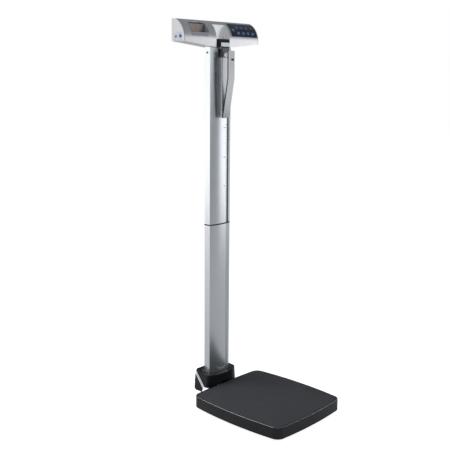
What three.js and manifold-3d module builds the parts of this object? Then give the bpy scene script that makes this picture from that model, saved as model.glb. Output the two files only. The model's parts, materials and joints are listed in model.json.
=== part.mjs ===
// Physician's digital eye-level scale with a height rod.
// Millimetres, +Z up. Front (the side a person steps on from) is -Y, and +X is to the right of
// somebody facing the column. The origin is on the floor, under the middle of the whole object.
import * as THREE from 'three';
import { mergeVertices } from 'three/addons/utils/BufferGeometryUtils.js';
import Module from 'manifold-3d';

const wasm = await Module();
wasm.setup();

// ---------------------------------------------------------------- driving dimensions

const GAP = 0.3; // clearance between pieces that touch
const FAR = 400; // longer than anything that a cut has to pass through
const WIDTH = 356; // platform and head share this width
const DEPTH = 500; // platform front edge to wheel backs
const FRONT = -DEPTH / 2;
const BACK = DEPTH / 2;

const PLATFORM = {
  length: 390,
  top: 54,
  bottom: 14,
  cover: 51.5, // floor of the tray in which the mat lies
  lip: 53.6, // top of the rim round the mat
  wall: 5,
  radius: 29,
  rim: 7, // width of the cover left bare round the mat
  step: 2, // size of the step round the top edge
  slit: 62, // half width of the opening for the pillar bracket
  boss: 9, // radius of the four bosses that rest on the base frame
};
PLATFORM.back = FRONT + PLATFORM.length;
const SIDE_BULGE = 10; // how far each platform edge bows out between its corners
const FRONT_BULGE = 7;
const BACK_BULGE = 4;

const FOOT = { x: 128, front: FRONT + 60, back: PLATFORM.back - 35, radius: 17, pad: 8, stud: 6 };
const CELL = { inner: 60, outer: 142, width: 26, bottom: PLATFORM.bottom + GAP, top: 24 };
const CELL_WINDOW = { skin: 3, half: 14 }; // the opening that lets a load cell bend
const FRAME = { bottom: CELL.top + GAP, top: 36.3, x: 120, bar: 24, end: 30, over: 15 };
const JUNCTION = { x: 45, front: 20, back: 35, thick: 1.7 }; // circuit board on the middle bar

const COLUMN = { half: 50, front: 170.5, back: 199, bulge: 6, wall: 2.2, corner: 3, bottom: 41.3 };
const JOINT = { z: 624, gasket: 3.4, proud: 0.6 }; // where the two column lengths meet
const SPLICE = { x: 44, front: 176, back: 196.4, reach: 60, wall: 7 }; // sleeve inside that joint
const SCREW = { radius: 3, head: 1.5, y: 183.8, z: 1202 };
const CABLE_ENTRY = { x: [-38, -26], top: 52 }; // notch in the column's foot
const GROOVE = { x: 33.5, width: 12, depth: 5, faint: 1 };

const BOOT = {
  half: 77, // at the bottom
  flare: 0.095, // how fast the sides lean in towards the top
  bottom: 24,
  ellipse: 166, // y at which the round front starts
  reach: 27, // how far the round front comes forward from there
  back: 228,
  chamfer: 9,
  wall: 3,
  clear: 1.2, // gap round the column
  gate: 50, // half width of the opening for the wheels
};
const WHEEL = { radius: 18, y: BACK - 18, z: 40, inner: 30, outer: 46, axle: 4 };

const HEAD = {
  front: 159.4,
  back: 218,
  top: 1305,
  low: 1216, // underside at the middle
  high: 1234.5, // underside at the ends
  radius: 65, // of the curved front
  arcZ: 1244,
  wall: 2.5,
  cap: 2.7, // thickness of an end cap
  seam: 207, // where the front shell meets the back cover
};
HEAD.arcY = HEAD.front + HEAD.radius;
const RECESS = { half: 31.5, back: 184, top: 1293 };
// Where the column enters the head, with room for the cable on its left.
const THROAT = { x: 44, wire: 43, wireFront: 185, back: 200, top: 1240 };
const DISPLAY = { x0: -144, x1: -64, z0: 1264, z1: 1292, rise: 5, glass: 183, thick: 2, back: 189.4 };
const LCD = { x0: -129, x1: -75, z0: 1267, z1: 1290, depth: 5.6 };
const DOOR = { x0: -160, x1: -65, z0: 1244, z1: 1290, thick: 2.4 };
const MAIN_BOARD = { x0: 40, x1: 168, y: 196, z0: 1240, z1: 1296, thick: 1.6 };
const BATTERY_BOX = { x0: -158, x1: -67, y0: 193, y1: 214, z0: 1246, z1: 1288, wall: 2 };
const BRACKET = { x0: -20, x1: 40, y0: 192.3, y1: 196, z0: 1130, z1: 1285 };
const PAD = { x0: 44, x1: 172, low: 10.6, high: 57, thick: 0.9, margin: 2 }; // angles in degrees
const KEY = { width: 16, height: 10.5, deep: 3, proud: 0.8 };

const ROD = { y0: 168, y1: 180, half: 13, wall: 1.5, bottom: 556, top: 1215.7 };
const INNER = { y0: 170.5, y1: 177.5, half: 10, bottom: 590, top: 1235.5 };
const GUIDE = { half: 20, front: 168.6, back: 190, z0: 1188, z1: 1210, clear: 0.4 }; // bush for the rod
const CAP = {
  half: 28,
  face: 21.6, // half width of the flat front
  front: 149.7,
  shoulder: 159.4,
  back: 181,
  z0: 1219,
  z1: 1246,
  slope: 11, // height of the slanting top of the front
  lip: 2,
};
const CAP_PLATE = { half: 20.5, thick: 0.7, z0: 1221.5, z1: 1234.5 }; // bright plate on the cap's front
const PIN = { y: 136, z: 1194, radius: 2.5, half: 15.6 };
const KNUCKLE = { half: 12, nose: 8.5, front: 151.5, neck: 7, back: 158, heel: 154 };
const PADDLE = {
  half: 15,
  front: 121,
  thick: 2.5,
  top: 1208,
  bend: 1118, // below here it leans back
  tip: 988,
  tipY: 144.5,
  cheek: 2.6, // thickness of the two hinge cheeks
  ear: 8, // radius of the cheeks round the pin
};
const PADDLE_SLOT = { x0: -2, x1: 11, z0: 1176, z1: 1183.5 };
const CATCH = { near: 1.2, far: 5 }; // depths of the plastic catch in that slot
const STRIP = { half: 12, y0: 150.5, y1: 153.5, top: 1184.7, bottom: 988 };

// ---------------------------------------------------------------- materials

function finish(color, roughness, metalness) {
  return new THREE.MeshStandardMaterial({ color, roughness, metalness });
}

const MATERIALS = {
  aluminium: finish(0xc3c6ca, 0.3, 0.9),
  chrome: finish(0xb9bcbe, 0.12, 1),
  steel: finish(0x8d9094, 0.45, 0.8),
  black: finish(0x141416, 0.42, 0),
  mat: finish(0x2c2c30, 0.75, 0),
  rubber: finish(0x1a1a1b, 0.9, 0),
  silver: finish(0xcfd0d2, 0.28, 0.7),
  navy: finish(0x0b1230, 0.35, 0),
  key: finish(0x25355f, 0.45, 0),
  glass: finish(0x2a2230, 0.08, 0),
  lcd: finish(0xa08c7d, 0.25, 0),
  board: finish(0x1f5a36, 0.55, 0),
  panel: finish(0xc6cfdd, 0.5, 0),
  cable: finish(0x202022, 0.7, 0),
};

// ---------------------------------------------------------------- shape helpers

function solid(geometry) {
  const bare = geometry.clone();
  bare.deleteAttribute('normal');
  bare.deleteAttribute('uv');
  const merged = mergeVertices(bare, 1e-4);
  const vertProperties = Float32Array.from(merged.attributes.position.array);
  const triVerts = Uint32Array.from(merged.index.array);
  return new wasm.Manifold(new wasm.Mesh({ numProp: 3, vertProperties, triVerts }));
}

function toGeometry(manifold) {
  const mesh = manifold.getMesh();
  const geometry = new THREE.BufferGeometry();
  geometry.setAttribute('position', new THREE.BufferAttribute(mesh.vertProperties, 3));
  geometry.setIndex(new THREE.BufferAttribute(mesh.triVerts, 1));
  geometry.computeVertexNormals();
  return geometry;
}

function box(x0, x1, y0, y1, z0, z1) {
  const geometry = new THREE.BoxGeometry(x1 - x0, y1 - y0, z1 - z0);
  geometry.translate((x0 + x1) / 2, (y0 + y1) / 2, (z0 + z1) / 2);
  return solid(geometry);
}

function polygon(points) {
  return new THREE.Shape(points.map(([a, b]) => new THREE.Vector2(a, b)));
}

// A plan outline (x, y) raised from z0 to z1.
function raise(shape, z0, z1, curveSegments = 12) {
  const settings = { depth: z1 - z0, bevelEnabled: false, curveSegments };
  const geometry = new THREE.ExtrudeGeometry(shape, settings);
  geometry.translate(0, 0, z0);
  return solid(geometry);
}

// A side outline (y, z) run along X from x0 to x1.
function runAlongX(shape, x0, x1, curveSegments = 12) {
  const settings = { depth: x1 - x0, bevelEnabled: false, curveSegments };
  const geometry = new THREE.ExtrudeGeometry(shape, settings);
  const turn = new THREE.Matrix4().makeBasis(
    new THREE.Vector3(0, 1, 0),
    new THREE.Vector3(0, 0, 1),
    new THREE.Vector3(1, 0, 0),
  );
  geometry.applyMatrix4(turn);
  geometry.translate(x0, 0, 0);
  return solid(geometry);
}

// A front outline (x, z) run along Y from y0 to y1.
function runAlongY(shape, y0, y1) {
  const geometry = new THREE.ExtrudeGeometry(shape, { depth: y1 - y0, bevelEnabled: false });
  geometry.rotateX(Math.PI / 2);
  geometry.translate(0, y1, 0);
  return solid(geometry);
}

function postZ(radius, x, y, z0, z1, sides = 24) {
  const geometry = new THREE.CylinderGeometry(radius, radius, z1 - z0, sides);
  geometry.rotateX(Math.PI / 2);
  geometry.translate(x, y, (z0 + z1) / 2);
  return solid(geometry);
}

function rodX(radius, x0, x1, y, z, sides = 24) {
  const geometry = new THREE.CylinderGeometry(radius, radius, x1 - x0, sides);
  geometry.rotateZ(Math.PI / 2);
  geometry.translate((x0 + x1) / 2, y, z);
  return solid(geometry);
}

const scale = new THREE.Group();

function piece(name, manifold, material) {
  const mesh = new THREE.Mesh(toGeometry(manifold), material);
  mesh.name = name;
  scale.add(mesh);
}

// Two distances from the middle as an ordered pair, on the left (sign -1) or right (sign 1).
function sided(sign, near, far) {
  return sign < 0 ? [-far, -near] : [near, far];
}

// ---------------------------------------------------------------- platform and base

// Rounded rectangle whose four edges bow outwards.
function platformOutline(inset) {
  const ex = WIDTH / 2 - SIDE_BULGE - inset;
  const front = FRONT + FRONT_BULGE + inset;
  const back = PLATFORM.back - BACK_BULGE - inset;
  const r = PLATFORM.radius - inset;
  const middle = (front + back) / 2;
  const shape = new THREE.Shape();
  shape.moveTo(ex, front + r);
  shape.quadraticCurveTo(ex + 2 * SIDE_BULGE, middle, ex, back - r);
  shape.absarc(ex - r, back - r, r, 0, Math.PI / 2);
  shape.quadraticCurveTo(0, back + 2 * BACK_BULGE, r - ex, back);
  shape.absarc(r - ex, back - r, r, Math.PI / 2, Math.PI);
  shape.quadraticCurveTo(-ex - 2 * SIDE_BULGE, middle, -ex, front + r);
  shape.absarc(r - ex, front + r, r, Math.PI, 1.5 * Math.PI);
  shape.quadraticCurveTo(0, front - 2 * FRONT_BULGE, ex - r, front);
  shape.absarc(ex - r, front + r, r, 1.5 * Math.PI, 2 * Math.PI);
  return shape;
}

function buildPlatform() {
  const { bottom, cover, lip, wall, top, rim, step, slit, boss } = PLATFORM;
  const innerTop = cover - wall;
  const skirt = raise(platformOutline(0), bottom, lip - step);
  let shell = raise(platformOutline(step), bottom, lip).add(skirt);
  shell = shell.subtract(raise(platformOutline(rim - GAP), cover, top));
  shell = shell.subtract(raise(platformOutline(wall), bottom - 1, innerTop));
  for (const x of [-FRAME.x + FRAME.bar / 2, FRAME.x - FRAME.bar / 2]) {
    for (const y of [FOOT.front, FOOT.back]) {
      shell = shell.add(postZ(boss, x, y, FRAME.top + GAP, innerTop + 1));
    }
  }
  shell = shell.subtract(box(-slit, slit, PLATFORM.back - 20, BACK, 0, innerTop));
  piece('platform_cover', shell, MATERIALS.black);
  piece('platform_mat', raise(platformOutline(rim), cover + GAP, top), MATERIALS.mat);
}

function buildBaseFrame() {
  const { x, bar, bottom, top, end, over } = FRAME;
  const y0 = FOOT.front - over;
  const y1 = FOOT.back + over;
  const middle = (y0 + y1) / 2 - end;
  let frame = box(-x, x, y0, y1, bottom, top);
  frame = frame.subtract(box(bar - x, x - bar, y0 + end, middle - over, 0, PLATFORM.top));
  frame = frame.subtract(box(bar - x, x - bar, middle + over, y1 - end, 0, PLATFORM.top));
  piece('base_frame', frame, MATERIALS.steel);
  const { front, back, thick } = JUNCTION;
  const lift = top + GAP;
  const board = box(-JUNCTION.x, JUNCTION.x, middle - front, middle + back, lift, lift + thick);
  piece('junction_board', board, MATERIALS.board);
}

function buildFeet() {
  const { width, bottom, top, inner, outer } = CELL;
  const { skin, half } = CELL_WINDOW;
  for (const [side, sign] of [['left', -1], ['right', 1]]) {
    for (const [end, y] of [['front', FOOT.front], ['back', FOOT.back]]) {
      const ends = sided(sign, inner, outer);
      const cell = box(ends[0], ends[1], y - width / 2, y + width / 2, bottom, top);
      const centre = (ends[0] + ends[1]) / 2;
      const window = box(centre - half, centre + half, y - width, y + width, bottom + skin, top - skin);
      piece(`load_cell_${end}_${side}`, cell.subtract(window), MATERIALS.aluminium);
      const pad = postZ(FOOT.radius, sign * FOOT.x, y, 0, FOOT.pad, 32);
      const stud = postZ(FOOT.stud, sign * FOOT.x, y, FOOT.pad - 1, PLATFORM.bottom, 16);
      piece(`foot_${end}_${side}`, pad.add(stud), MATERIALS.rubber);
    }
  }
}

// ---------------------------------------------------------------- pillar foot, boot and wheels

const PLATE = { x: 60, front: 60, back: 212, z0: FRAME.top + GAP + 0.1, z1: COLUMN.bottom - GAP };
const EAR = { x0: 20, x1: 26, front: 200, back: BACK - 12, z0: 30, z1: 50 };
const INSERT = { x0: -20, x1: 44, front: 176, back: 194, top: 130 }; // block inside the column's foot

function buildPillarFoot() {
  let bracket = box(-PLATE.x, PLATE.x, PLATE.front, PLATE.back, PLATE.z0, PLATE.z1);
  for (const sign of [-1, 1]) {
    const ends = sided(sign, EAR.x0, EAR.x1);
    bracket = bracket.add(box(ends[0], ends[1], EAR.front, EAR.back, EAR.z0, EAR.z1));
  }
  bracket = bracket.subtract(rodX(WHEEL.axle + GAP, -PLATE.x, PLATE.x, WHEEL.y, WHEEL.z));
  piece('pillar_bracket', bracket, MATERIALS.steel);
  const insert = box(INSERT.x0, INSERT.x1, INSERT.front, INSERT.back, COLUMN.bottom, INSERT.top);
  piece('pillar_insert', insert, MATERIALS.aluminium);
}

function buildWheels() {
  const { radius, y, z, inner, outer, axle } = WHEEL;
  piece('wheel_axle', rodX(axle, -outer - 3, outer + 3, y, z), MATERIALS.steel);
  for (const [side, sign] of [['left', -1], ['right', 1]]) {
    const ends = sided(sign, inner, outer);
    let wheel = rodX(radius, ends[0], ends[1], y, z, 40);
    wheel = wheel.subtract(rodX(axle + GAP, -outer - 1, outer + 1, y, z));
    piece(`wheel_${side}`, wheel, MATERIALS.rubber);
  }
}

function bootPlan(inset) {
  const { half, ellipse, reach, back, chamfer } = BOOT;
  const shape = new THREE.Shape();
  shape.moveTo(half - inset, back - chamfer);
  shape.lineTo(half - chamfer, back - inset);
  shape.lineTo(chamfer - half, back - inset);
  shape.lineTo(inset - half, back - chamfer);
  shape.lineTo(inset - half, ellipse);
  shape.absellipse(0, ellipse, half - inset, reach - inset, Math.PI, 2 * Math.PI);
  return shape;
}

// Side outlines (y, z) of the boot's outside and of its hollow.
const BOOT_SIDE = [
  [214, 102],
  [225, 71],
  [228, 34],
  [212, 24],
  [184, 24],
  [176, 44],
  [142.5, 44],
  [142.5, 58.5],
  [120, 58.5],
  [120, 87],
  [188, 91.5],
];
const BOOT_HOLLOW = [
  [211, 98],
  [222, 71],
  [225, 34],
  [225, 10],
  [100, 10],
  [100, 81],
  [188, 87],
];
// The slanting joint of the two covers, filled by a punched trim strip.
const SEAM = { y: 198.5, z: 67, angle: Math.atan2(40, 37), half: 5, hole: 2, pitch: 8 };

// Everything on the upper, front side of the slanting seam, moved along its normal by `shift`.
function aboveSeam(shift) {
  const geometry = new THREE.BoxGeometry(FAR, FAR, FAR);
  geometry.translate(0, 0, FAR / 2);
  geometry.rotateX(SEAM.angle);
  const out = new THREE.Vector2(-Math.sin(SEAM.angle), Math.cos(SEAM.angle));
  geometry.translate(0, SEAM.y + shift * out.x, SEAM.z + shift * out.y);
  return solid(geometry);
}

// The boot's outside or hollow: its plan, narrowing towards the top, cut to its side outline.
function bootBlock(side, inset) {
  const { half, flare, bottom } = BOOT;
  const height = 120;
  const settings = { depth: height, bevelEnabled: false, curveSegments: 24 };
  const geometry = new THREE.ExtrudeGeometry(bootPlan(inset), settings);
  const position = geometry.attributes.position;
  for (let i = 0; i < position.count; i += 1) {
    const lean = (flare * (position.getZ(i) - bottom)) / half;
    position.setX(i, position.getX(i) * (1 - lean));
  }
  return solid(geometry).intersect(runAlongX(polygon(side), -FAR, FAR));
}

function buildBoot() {
  const { wall, clear, gate } = BOOT;
  let shell = bootBlock(BOOT_SIDE, 0).subtract(bootBlock(BOOT_HOLLOW, wall));
  shell = shell.subtract(raise(columnOutline(clear), 0, FAR));
  shell = shell.subtract(box(-gate, gate, COLUMN.back, BACK, 0, WHEEL.z + WHEEL.radius + 2));
  const [left, right] = CABLE_ENTRY.x;
  shell = shell.subtract(box(left, right, 100, COLUMN.front, 0, CABLE_ENTRY.top));
  const reach = SEAM.half + GAP;
  piece('boot_front_cover', shell.intersect(aboveSeam(reach)), MATERIALS.black);
  piece('boot_rear_cover', shell.subtract(aboveSeam(-reach)), MATERIALS.black);
  const trim = shell.intersect(aboveSeam(-SEAM.half)).subtract(aboveSeam(SEAM.half));
  piece('boot_trim', punchTrim(trim), MATERIALS.chrome);
}

// A row of small holes along the bright seam trim, through both sides.
function punchTrim(trim) {
  const along = new THREE.Vector2(Math.cos(SEAM.angle), Math.sin(SEAM.angle));
  let punched = trim;
  for (let step = -2; step <= 2; step += 1) {
    const y = SEAM.y + step * SEAM.pitch * along.x;
    const z = SEAM.z + step * SEAM.pitch * along.y;
    punched = punched.subtract(rodX(SEAM.hole, -FAR, FAR, y, z, 10));
  }
  return punched;
}

// ---------------------------------------------------------------- column

// Plan of the column: flat sides and back, and a front that bows forward.
function columnOutline(grow) {
  const { half, front, back, bulge, corner } = COLUMN;
  const x = half + grow;
  const y = front - grow;
  const shape = new THREE.Shape();
  shape.moveTo(-x, y);
  shape.quadraticCurveTo(0, y - 2 * bulge, x, y);
  shape.lineTo(x, back + grow - corner);
  shape.lineTo(x - corner, back + grow);
  shape.lineTo(corner - x, back + grow);
  shape.lineTo(-x, back + grow - corner);
  return shape;
}

// A length of column with its groove. Where the groove is deep, a lining stands behind it.
function columnTube(z0, z1, grooveDepth) {
  const { front, wall, bulge } = COLUMN;
  const { x, width } = GROOVE;
  const outer = raise(columnOutline(0), z0, z1);
  let tube = outer.subtract(raise(columnOutline(-wall), z0 - 1, z1 + 1));
  const face = front - bulge * (1 - (x / COLUMN.half) ** 2);
  const left = x - width / 2;
  const right = x + width / 2;
  if (grooveDepth > wall / 2) {
    const lining = box(left - wall, right + wall, front - bulge, face + grooveDepth + wall, z0, z1);
    tube = tube.add(lining.intersect(outer));
  }
  return tube.subtract(box(left, right, front - bulge - 9, face + grooveDepth, z0 - 1, z1 + 1));
}

function buildColumn() {
  const { half, front, bottom } = COLUMN;
  const seal = JOINT.gasket / 2;
  let lower = columnTube(bottom, JOINT.z - seal - GAP, GROOVE.faint);
  const entry = box(...CABLE_ENTRY.x, front - 2 * COLUMN.bulge, front + COLUMN.bulge, 0, CABLE_ENTRY.top);
  lower = lower.subtract(entry);
  piece('lower_column', lower, MATERIALS.aluminium);
  let upper = columnTube(JOINT.z + seal + GAP, HEAD.low + 12, GROOVE.depth);
  upper = upper.subtract(headBlock(500).translate([0, 0, -0.5]));
  piece('upper_column', upper, MATERIALS.aluminium);

  const gasket = raise(columnOutline(JOINT.proud), JOINT.z - seal, JOINT.z + seal);
  const hollow = raise(columnOutline(-COLUMN.wall), 0, HEAD.top);
  piece('column_gasket', gasket.subtract(hollow), MATERIALS.rubber);

  for (const [side, sign] of [['left', -1], ['right', 1]]) {
    const ends = sided(sign, half + GAP, half + GAP + SCREW.head);
    piece(`column_screw_${side}`, rodX(SCREW.radius, ...ends, SCREW.y, SCREW.z, 16), MATERIALS.steel);
  }
}

// A steel channel, open to the front, that joins the two lengths from inside and clears the groove.
function buildSplice() {
  const { x, front, back, reach, wall } = SPLICE;
  const bottom = JOINT.z - reach;
  const top = JOINT.z + reach;
  const clear = GROOVE.x - 2 * GROOVE.width;
  let splice = box(-x, x, front, back, bottom, top);
  splice = splice.subtract(box(wall - x, x - wall, front - 1, back - wall, bottom - 1, top + 1));
  splice = splice.subtract(box(clear, x + 1, front - 1, front + 4, bottom - 1, top + 1));
  piece('column_splice', splice, MATERIALS.steel);
}

// ---------------------------------------------------------------- height rod and headpiece

function buildRods() {
  const { y0, y1, half, wall, bottom, top } = ROD;
  const hollow = box(wall - half, half - wall, y0 + wall, y1 - wall, bottom - 1, top + 1);
  piece('outer_rod', box(-half, half, y0, y1, bottom, top).subtract(hollow), MATERIALS.aluminium);
  const inner = box(-INNER.half, INNER.half, INNER.y0, INNER.y1, INNER.bottom, INNER.top);
  piece('inner_rod', inner, MATERIALS.aluminium);
  const { front, back, z0, z1, clear } = GUIDE;
  const guide = box(-GUIDE.half, GUIDE.half, front, back, z0, z1);
  const passage = box(-half - clear, half + clear, front - 1, y1 + clear, z0 - 1, z1 + 1);
  piece('rod_guide', guide.subtract(passage), MATERIALS.black);
}

function buildCap() {
  const { half, face, front, shoulder, back, z0, z1, slope, lip } = CAP;
  const side = [
    [back, z0],
    [back, z1],
    [shoulder, z1],
    [front, z1 - slope],
    [front, z0 + lip],
    [front + lip, z0],
  ];
  const plan = [
    [-half, back],
    [-half, shoulder],
    [-face, front],
    [face, front],
    [half, shoulder],
    [half, back],
  ];
  let cap = runAlongX(polygon(side), -half, half).intersect(raise(polygon(plan), z0, z1));
  const reach = INNER.half + GAP;
  cap = cap.subtract(box(-reach, reach, INNER.y0 - GAP, INNER.y1 + GAP, z0 - 1, INNER.top + GAP));
  piece('rod_cap', cap, MATERIALS.black);
  const plate = CAP_PLATE;
  const rear = front - GAP;
  const slab = box(-plate.half, plate.half, rear - plate.thick, rear, plate.z0, plate.z1);
  piece('rod_cap_plate', slab, MATERIALS.silver);
}

function buildKnuckle() {
  const { y, z, radius } = PIN;
  const { half, nose, front, neck, back, heel } = KNUCKLE;
  const top = CAP.z0 - GAP;
  const arm = [
    [y, z - nose],
    [heel, z - nose],
    [back, z - nose + back - heel],
    [back, top],
    [front, top],
    [front, z + neck],
    [y, z + nose],
  ];
  let knuckle = runAlongX(polygon(arm), -half, half).add(rodX(nose, -half, half, y, z, 32));
  knuckle = knuckle.subtract(rodX(radius + GAP, -half - 1, half + 1, y, z));
  piece('headpiece_knuckle', knuckle, MATERIALS.chrome);
  piece('headpiece_pin', rodX(radius, -PIN.half, PIN.half, y, z), MATERIALS.steel);
  const strip = box(-STRIP.half, STRIP.half, STRIP.y0, STRIP.y1, STRIP.bottom, STRIP.top);
  piece('headpiece_strip', strip, MATERIALS.chrome);
}

function buildHeadpiece() {
  const { half, front, thick, top, bend, tip, tipY, cheek, ear } = PADDLE;
  const side = [
    [front, top],
    [front, bend],
    [tipY, tip],
    [tipY + thick, tip],
    [front + thick, bend],
    [front + thick, top],
  ];
  let paddle = runAlongX(polygon(side), -half, half);
  for (const sign of [-1, 1]) {
    const ends = sided(sign, half - cheek, half);
    const web = box(ends[0], ends[1], front + 1, PIN.y, PIN.z - ear, PIN.z + ear);
    paddle = paddle.add(web.add(rodX(ear, ends[0], ends[1], PIN.y, PIN.z, 32)));
  }
  paddle = paddle.subtract(rodX(PIN.radius + GAP, -half - 1, half + 1, PIN.y, PIN.z));
  const { x0, x1, z0, z1 } = PADDLE_SLOT;
  paddle = paddle.subtract(box(x0, x1, front - thick, front + 2 * thick, z0, z1));
  piece('headpiece', paddle, MATERIALS.chrome);
  const tab = box(x0 + GAP, x1 - GAP, front + CATCH.near, front + CATCH.far, z0 + GAP, z1 - GAP);
  piece('headpiece_catch', tab, MATERIALS.black);
}

// ---------------------------------------------------------------- head

// Side outline of the head, shrunk by `inset`, and reaching down past its V-shaped underside.
function headSide(inset, back) {
  const { front, top, radius, arcY, arcZ, low } = HEAD;
  const r = radius - inset;
  const rise = Math.asin((top - inset - arcZ) / r);
  const below = low - 100;
  const shape = new THREE.Shape();
  shape.moveTo(back, below);
  shape.lineTo(back, top - inset);
  shape.lineTo(arcY - r * Math.cos(rise), top - inset);
  shape.absarc(arcY, arcZ, r, Math.PI - rise, Math.PI, false);
  shape.lineTo(front + inset, below);
  return shape;
}

// Front outline of the head, with its shallow V-shaped underside.
function headFront(inset, half) {
  const slope = (HEAD.high - HEAD.low) / (WIDTH / 2);
  const low = HEAD.low + inset;
  const end = low + slope * half;
  const above = HEAD.top + 100;
  return polygon([[-half, end], [0, low], [half, end], [half, above], [-half, above]]);
}

function headBlock(half, inset = 0, back = HEAD.back) {
  const run = runAlongX(headSide(inset, back), -half, half, 20);
  return run.intersect(runAlongY(headFront(inset, half), 0, FAR));
}

function displayOpening() {
  const { x0, x1, z0, z1, rise } = DISPLAY;
  const shape = new THREE.Shape();
  shape.moveTo(x0, z0);
  shape.lineTo(x1, z0);
  shape.lineTo(x1, z1);
  shape.quadraticCurveTo((x0 + x1) / 2, z1 + 2 * rise, x0, z1);
  return runAlongY(shape, 100, DISPLAY.back);
}

// A slab that follows the curved front between two radii and two angles.
function curvedSlab(x0, x1, inner, outer, low, high, segments = 16) {
  const { arcY, arcZ } = HEAD;
  const shape = new THREE.Shape();
  const from = Math.PI - (low * Math.PI) / 180;
  const to = Math.PI - (high * Math.PI) / 180;
  shape.absarc(arcY, arcZ, outer, from, to, true);
  shape.absarc(arcY, arcZ, inner, to, from, false);
  return runAlongX(shape, x0, x1, segments);
}

function buildShell() {
  const { wall, cap, seam } = HEAD;
  const half = WIDTH / 2 - cap - GAP;
  const { half: open, back, top } = RECESS;
  const outer = headBlock(half, 0, seam);
  const below = HEAD.low - 1;
  const lined = open + wall;
  const lining = box(-lined, lined, 100, back + wall, below, top + wall);
  const cavity = headBlock(half + 5, wall, seam + 5).subtract(lining);
  let shell = outer.subtract(cavity);
  shell = shell.subtract(box(-open, open, 100, back, below, top));
  shell = shell.subtract(box(-THROAT.x, THROAT.x, back + wall + GAP, THROAT.back, below, THROAT.top));
  shell = shell.subtract(box(-THROAT.wire, -lined - GAP, THROAT.wireFront, THROAT.back, below, THROAT.top));
  const { x0: left, x1: right, z0: sill, back: depth } = DISPLAY;
  const tunnel = box(left - wall, right + wall, 100, depth, sill - wall, HEAD.top);
  shell = shell.add(tunnel.intersect(outer)).subtract(displayOpening());
  const { x0, x1, low, high, margin } = PAD;
  shell = shell.subtract(curvedSlab(x0 + margin, x1 - margin, 50, 80, low + 3, high - 3));
  piece('head_shell', shell, MATERIALS.silver);
}

function buildBackCover() {
  const { wall, cap, seam, back } = HEAD;
  const half = WIDTH / 2 - cap - GAP;
  const { x0, x1, z0, z1, thick } = DOOR;
  let cover = headBlock(half).subtract(box(-FAR, FAR, 0, seam + GAP, 0, 2 * HEAD.top));
  cover = cover.subtract(headBlock(half + 5, wall, back - wall));
  cover = cover.subtract(box(x0, x1, seam, back + 1, z0, z1));
  piece('head_back_cover', cover, MATERIALS.silver);
  const door = box(x0 + GAP, x1 - GAP, back - thick, back, z0 + GAP, z1 - GAP);
  piece('battery_door', door, MATERIALS.silver);
}

const PORT = { y0: 171, y1: 206, z0: 1237.5, z1: 1261, depth: 1.5 };
const JACK = { y: 198.2, z: 1248.6, radius: 4.6, bore: 3.2, length: 14 };
const SOCKET = { y: 177.5, z: 1249.5, half: 5.5, wall: 1.2, length: 15 };
const PORT_FLOOR = 11; // depth of the two sockets

function buildEndCaps() {
  const outer = WIDTH / 2;
  const { cap } = HEAD;
  const left = headBlock(outer).subtract(box(cap - outer, FAR, 0, FAR, 0, 2 * HEAD.top));
  const { y0, y1, z0, z1, depth } = PORT;
  piece('end_cap_left', left.subtract(box(-FAR, 0, y0, y1, z0, z1)), MATERIALS.silver);
  const right = headBlock(outer).subtract(box(-FAR, outer - cap, 0, FAR, 0, 2 * HEAD.top));
  piece('end_cap_right', right, MATERIALS.silver);
  let panel = box(-outer, depth - outer, y0 + GAP, y1 - GAP, z0 + GAP, z1 - GAP);
  panel = panel.subtract(rodX(JACK.radius + GAP, -FAR, 0, JACK.y, JACK.z));
  piece('port_panel', panel.subtract(socketBlock(SOCKET.half + GAP, -FAR, 0)), MATERIALS.panel);
}

function socketBlock(half, x0, x1) {
  return box(x0, x1, SOCKET.y - half, SOCKET.y + half, SOCKET.z - half, SOCKET.z + half);
}

function buildPorts() {
  const face = -WIDTH / 2;
  const jack = rodX(JACK.radius, face + GAP, face + JACK.length, JACK.y, JACK.z);
  const bore = rodX(JACK.bore, face - 1, face + PORT_FLOOR, JACK.y, JACK.z);
  piece('power_jack', jack.subtract(bore), MATERIALS.black);
  const body = socketBlock(SOCKET.half, face + GAP, face + SOCKET.length);
  const inside = socketBlock(SOCKET.half - SOCKET.wall, face - 1, face + PORT_FLOOR);
  piece('data_port', body.subtract(inside), MATERIALS.black);
}

function buildDisplay() {
  const { x0, x1, z0, z1, glass, thick } = DISPLAY;
  piece('display_window', box(x0 + 1, x1 - 1, glass, glass + thick, z0 + 1, z1), MATERIALS.glass);
  const back = glass + thick + GAP;
  piece('lcd_module', box(LCD.x0, LCD.x1, back, back + LCD.depth, LCD.z0, LCD.z1), MATERIALS.lcd);
}

// Key centres: x, and the angle up the curved front in degrees.
const KEY_COLUMNS = [79, 103, 127, 151];
const KEY_ROWS = [40, 21.5];
const LARGE_KEY = 1.12;
const KEY_PLACES = [[56, 31.5, LARGE_KEY]];
for (const angle of KEY_ROWS) {
  for (const x of KEY_COLUMNS) {
    KEY_PLACES.push([x, angle, 1]);
  }
}

function keyBlock(x, angle, scaleUp, grow, inner, outer) {
  const width = KEY.width * scaleUp + 2 * grow;
  const height = KEY.height * scaleUp + 2 * grow;
  const geometry = new THREE.BoxGeometry(width, outer - inner, height);
  geometry.translate(0, -(inner + outer) / 2, 0);
  geometry.rotateX((-angle * Math.PI) / 180);
  geometry.translate(x, HEAD.arcY, HEAD.arcZ);
  return solid(geometry);
}

function buildKeypad() {
  const base = HEAD.radius + GAP;
  const face = base + PAD.thick;
  let overlay = curvedSlab(PAD.x0, PAD.x1, base, face, PAD.low, PAD.high);
  KEY_PLACES.forEach(([x, angle, scaleUp], index) => {
    overlay = overlay.subtract(keyBlock(x, angle, scaleUp, 0.5, base - 5, face + 5));
    const key = keyBlock(x, angle, scaleUp, 0, face - KEY.deep, face + KEY.proud);
    piece(`key_${index + 1}`, key, MATERIALS.key);
  });
  piece('keypad_overlay', overlay, MATERIALS.navy);
}

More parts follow.
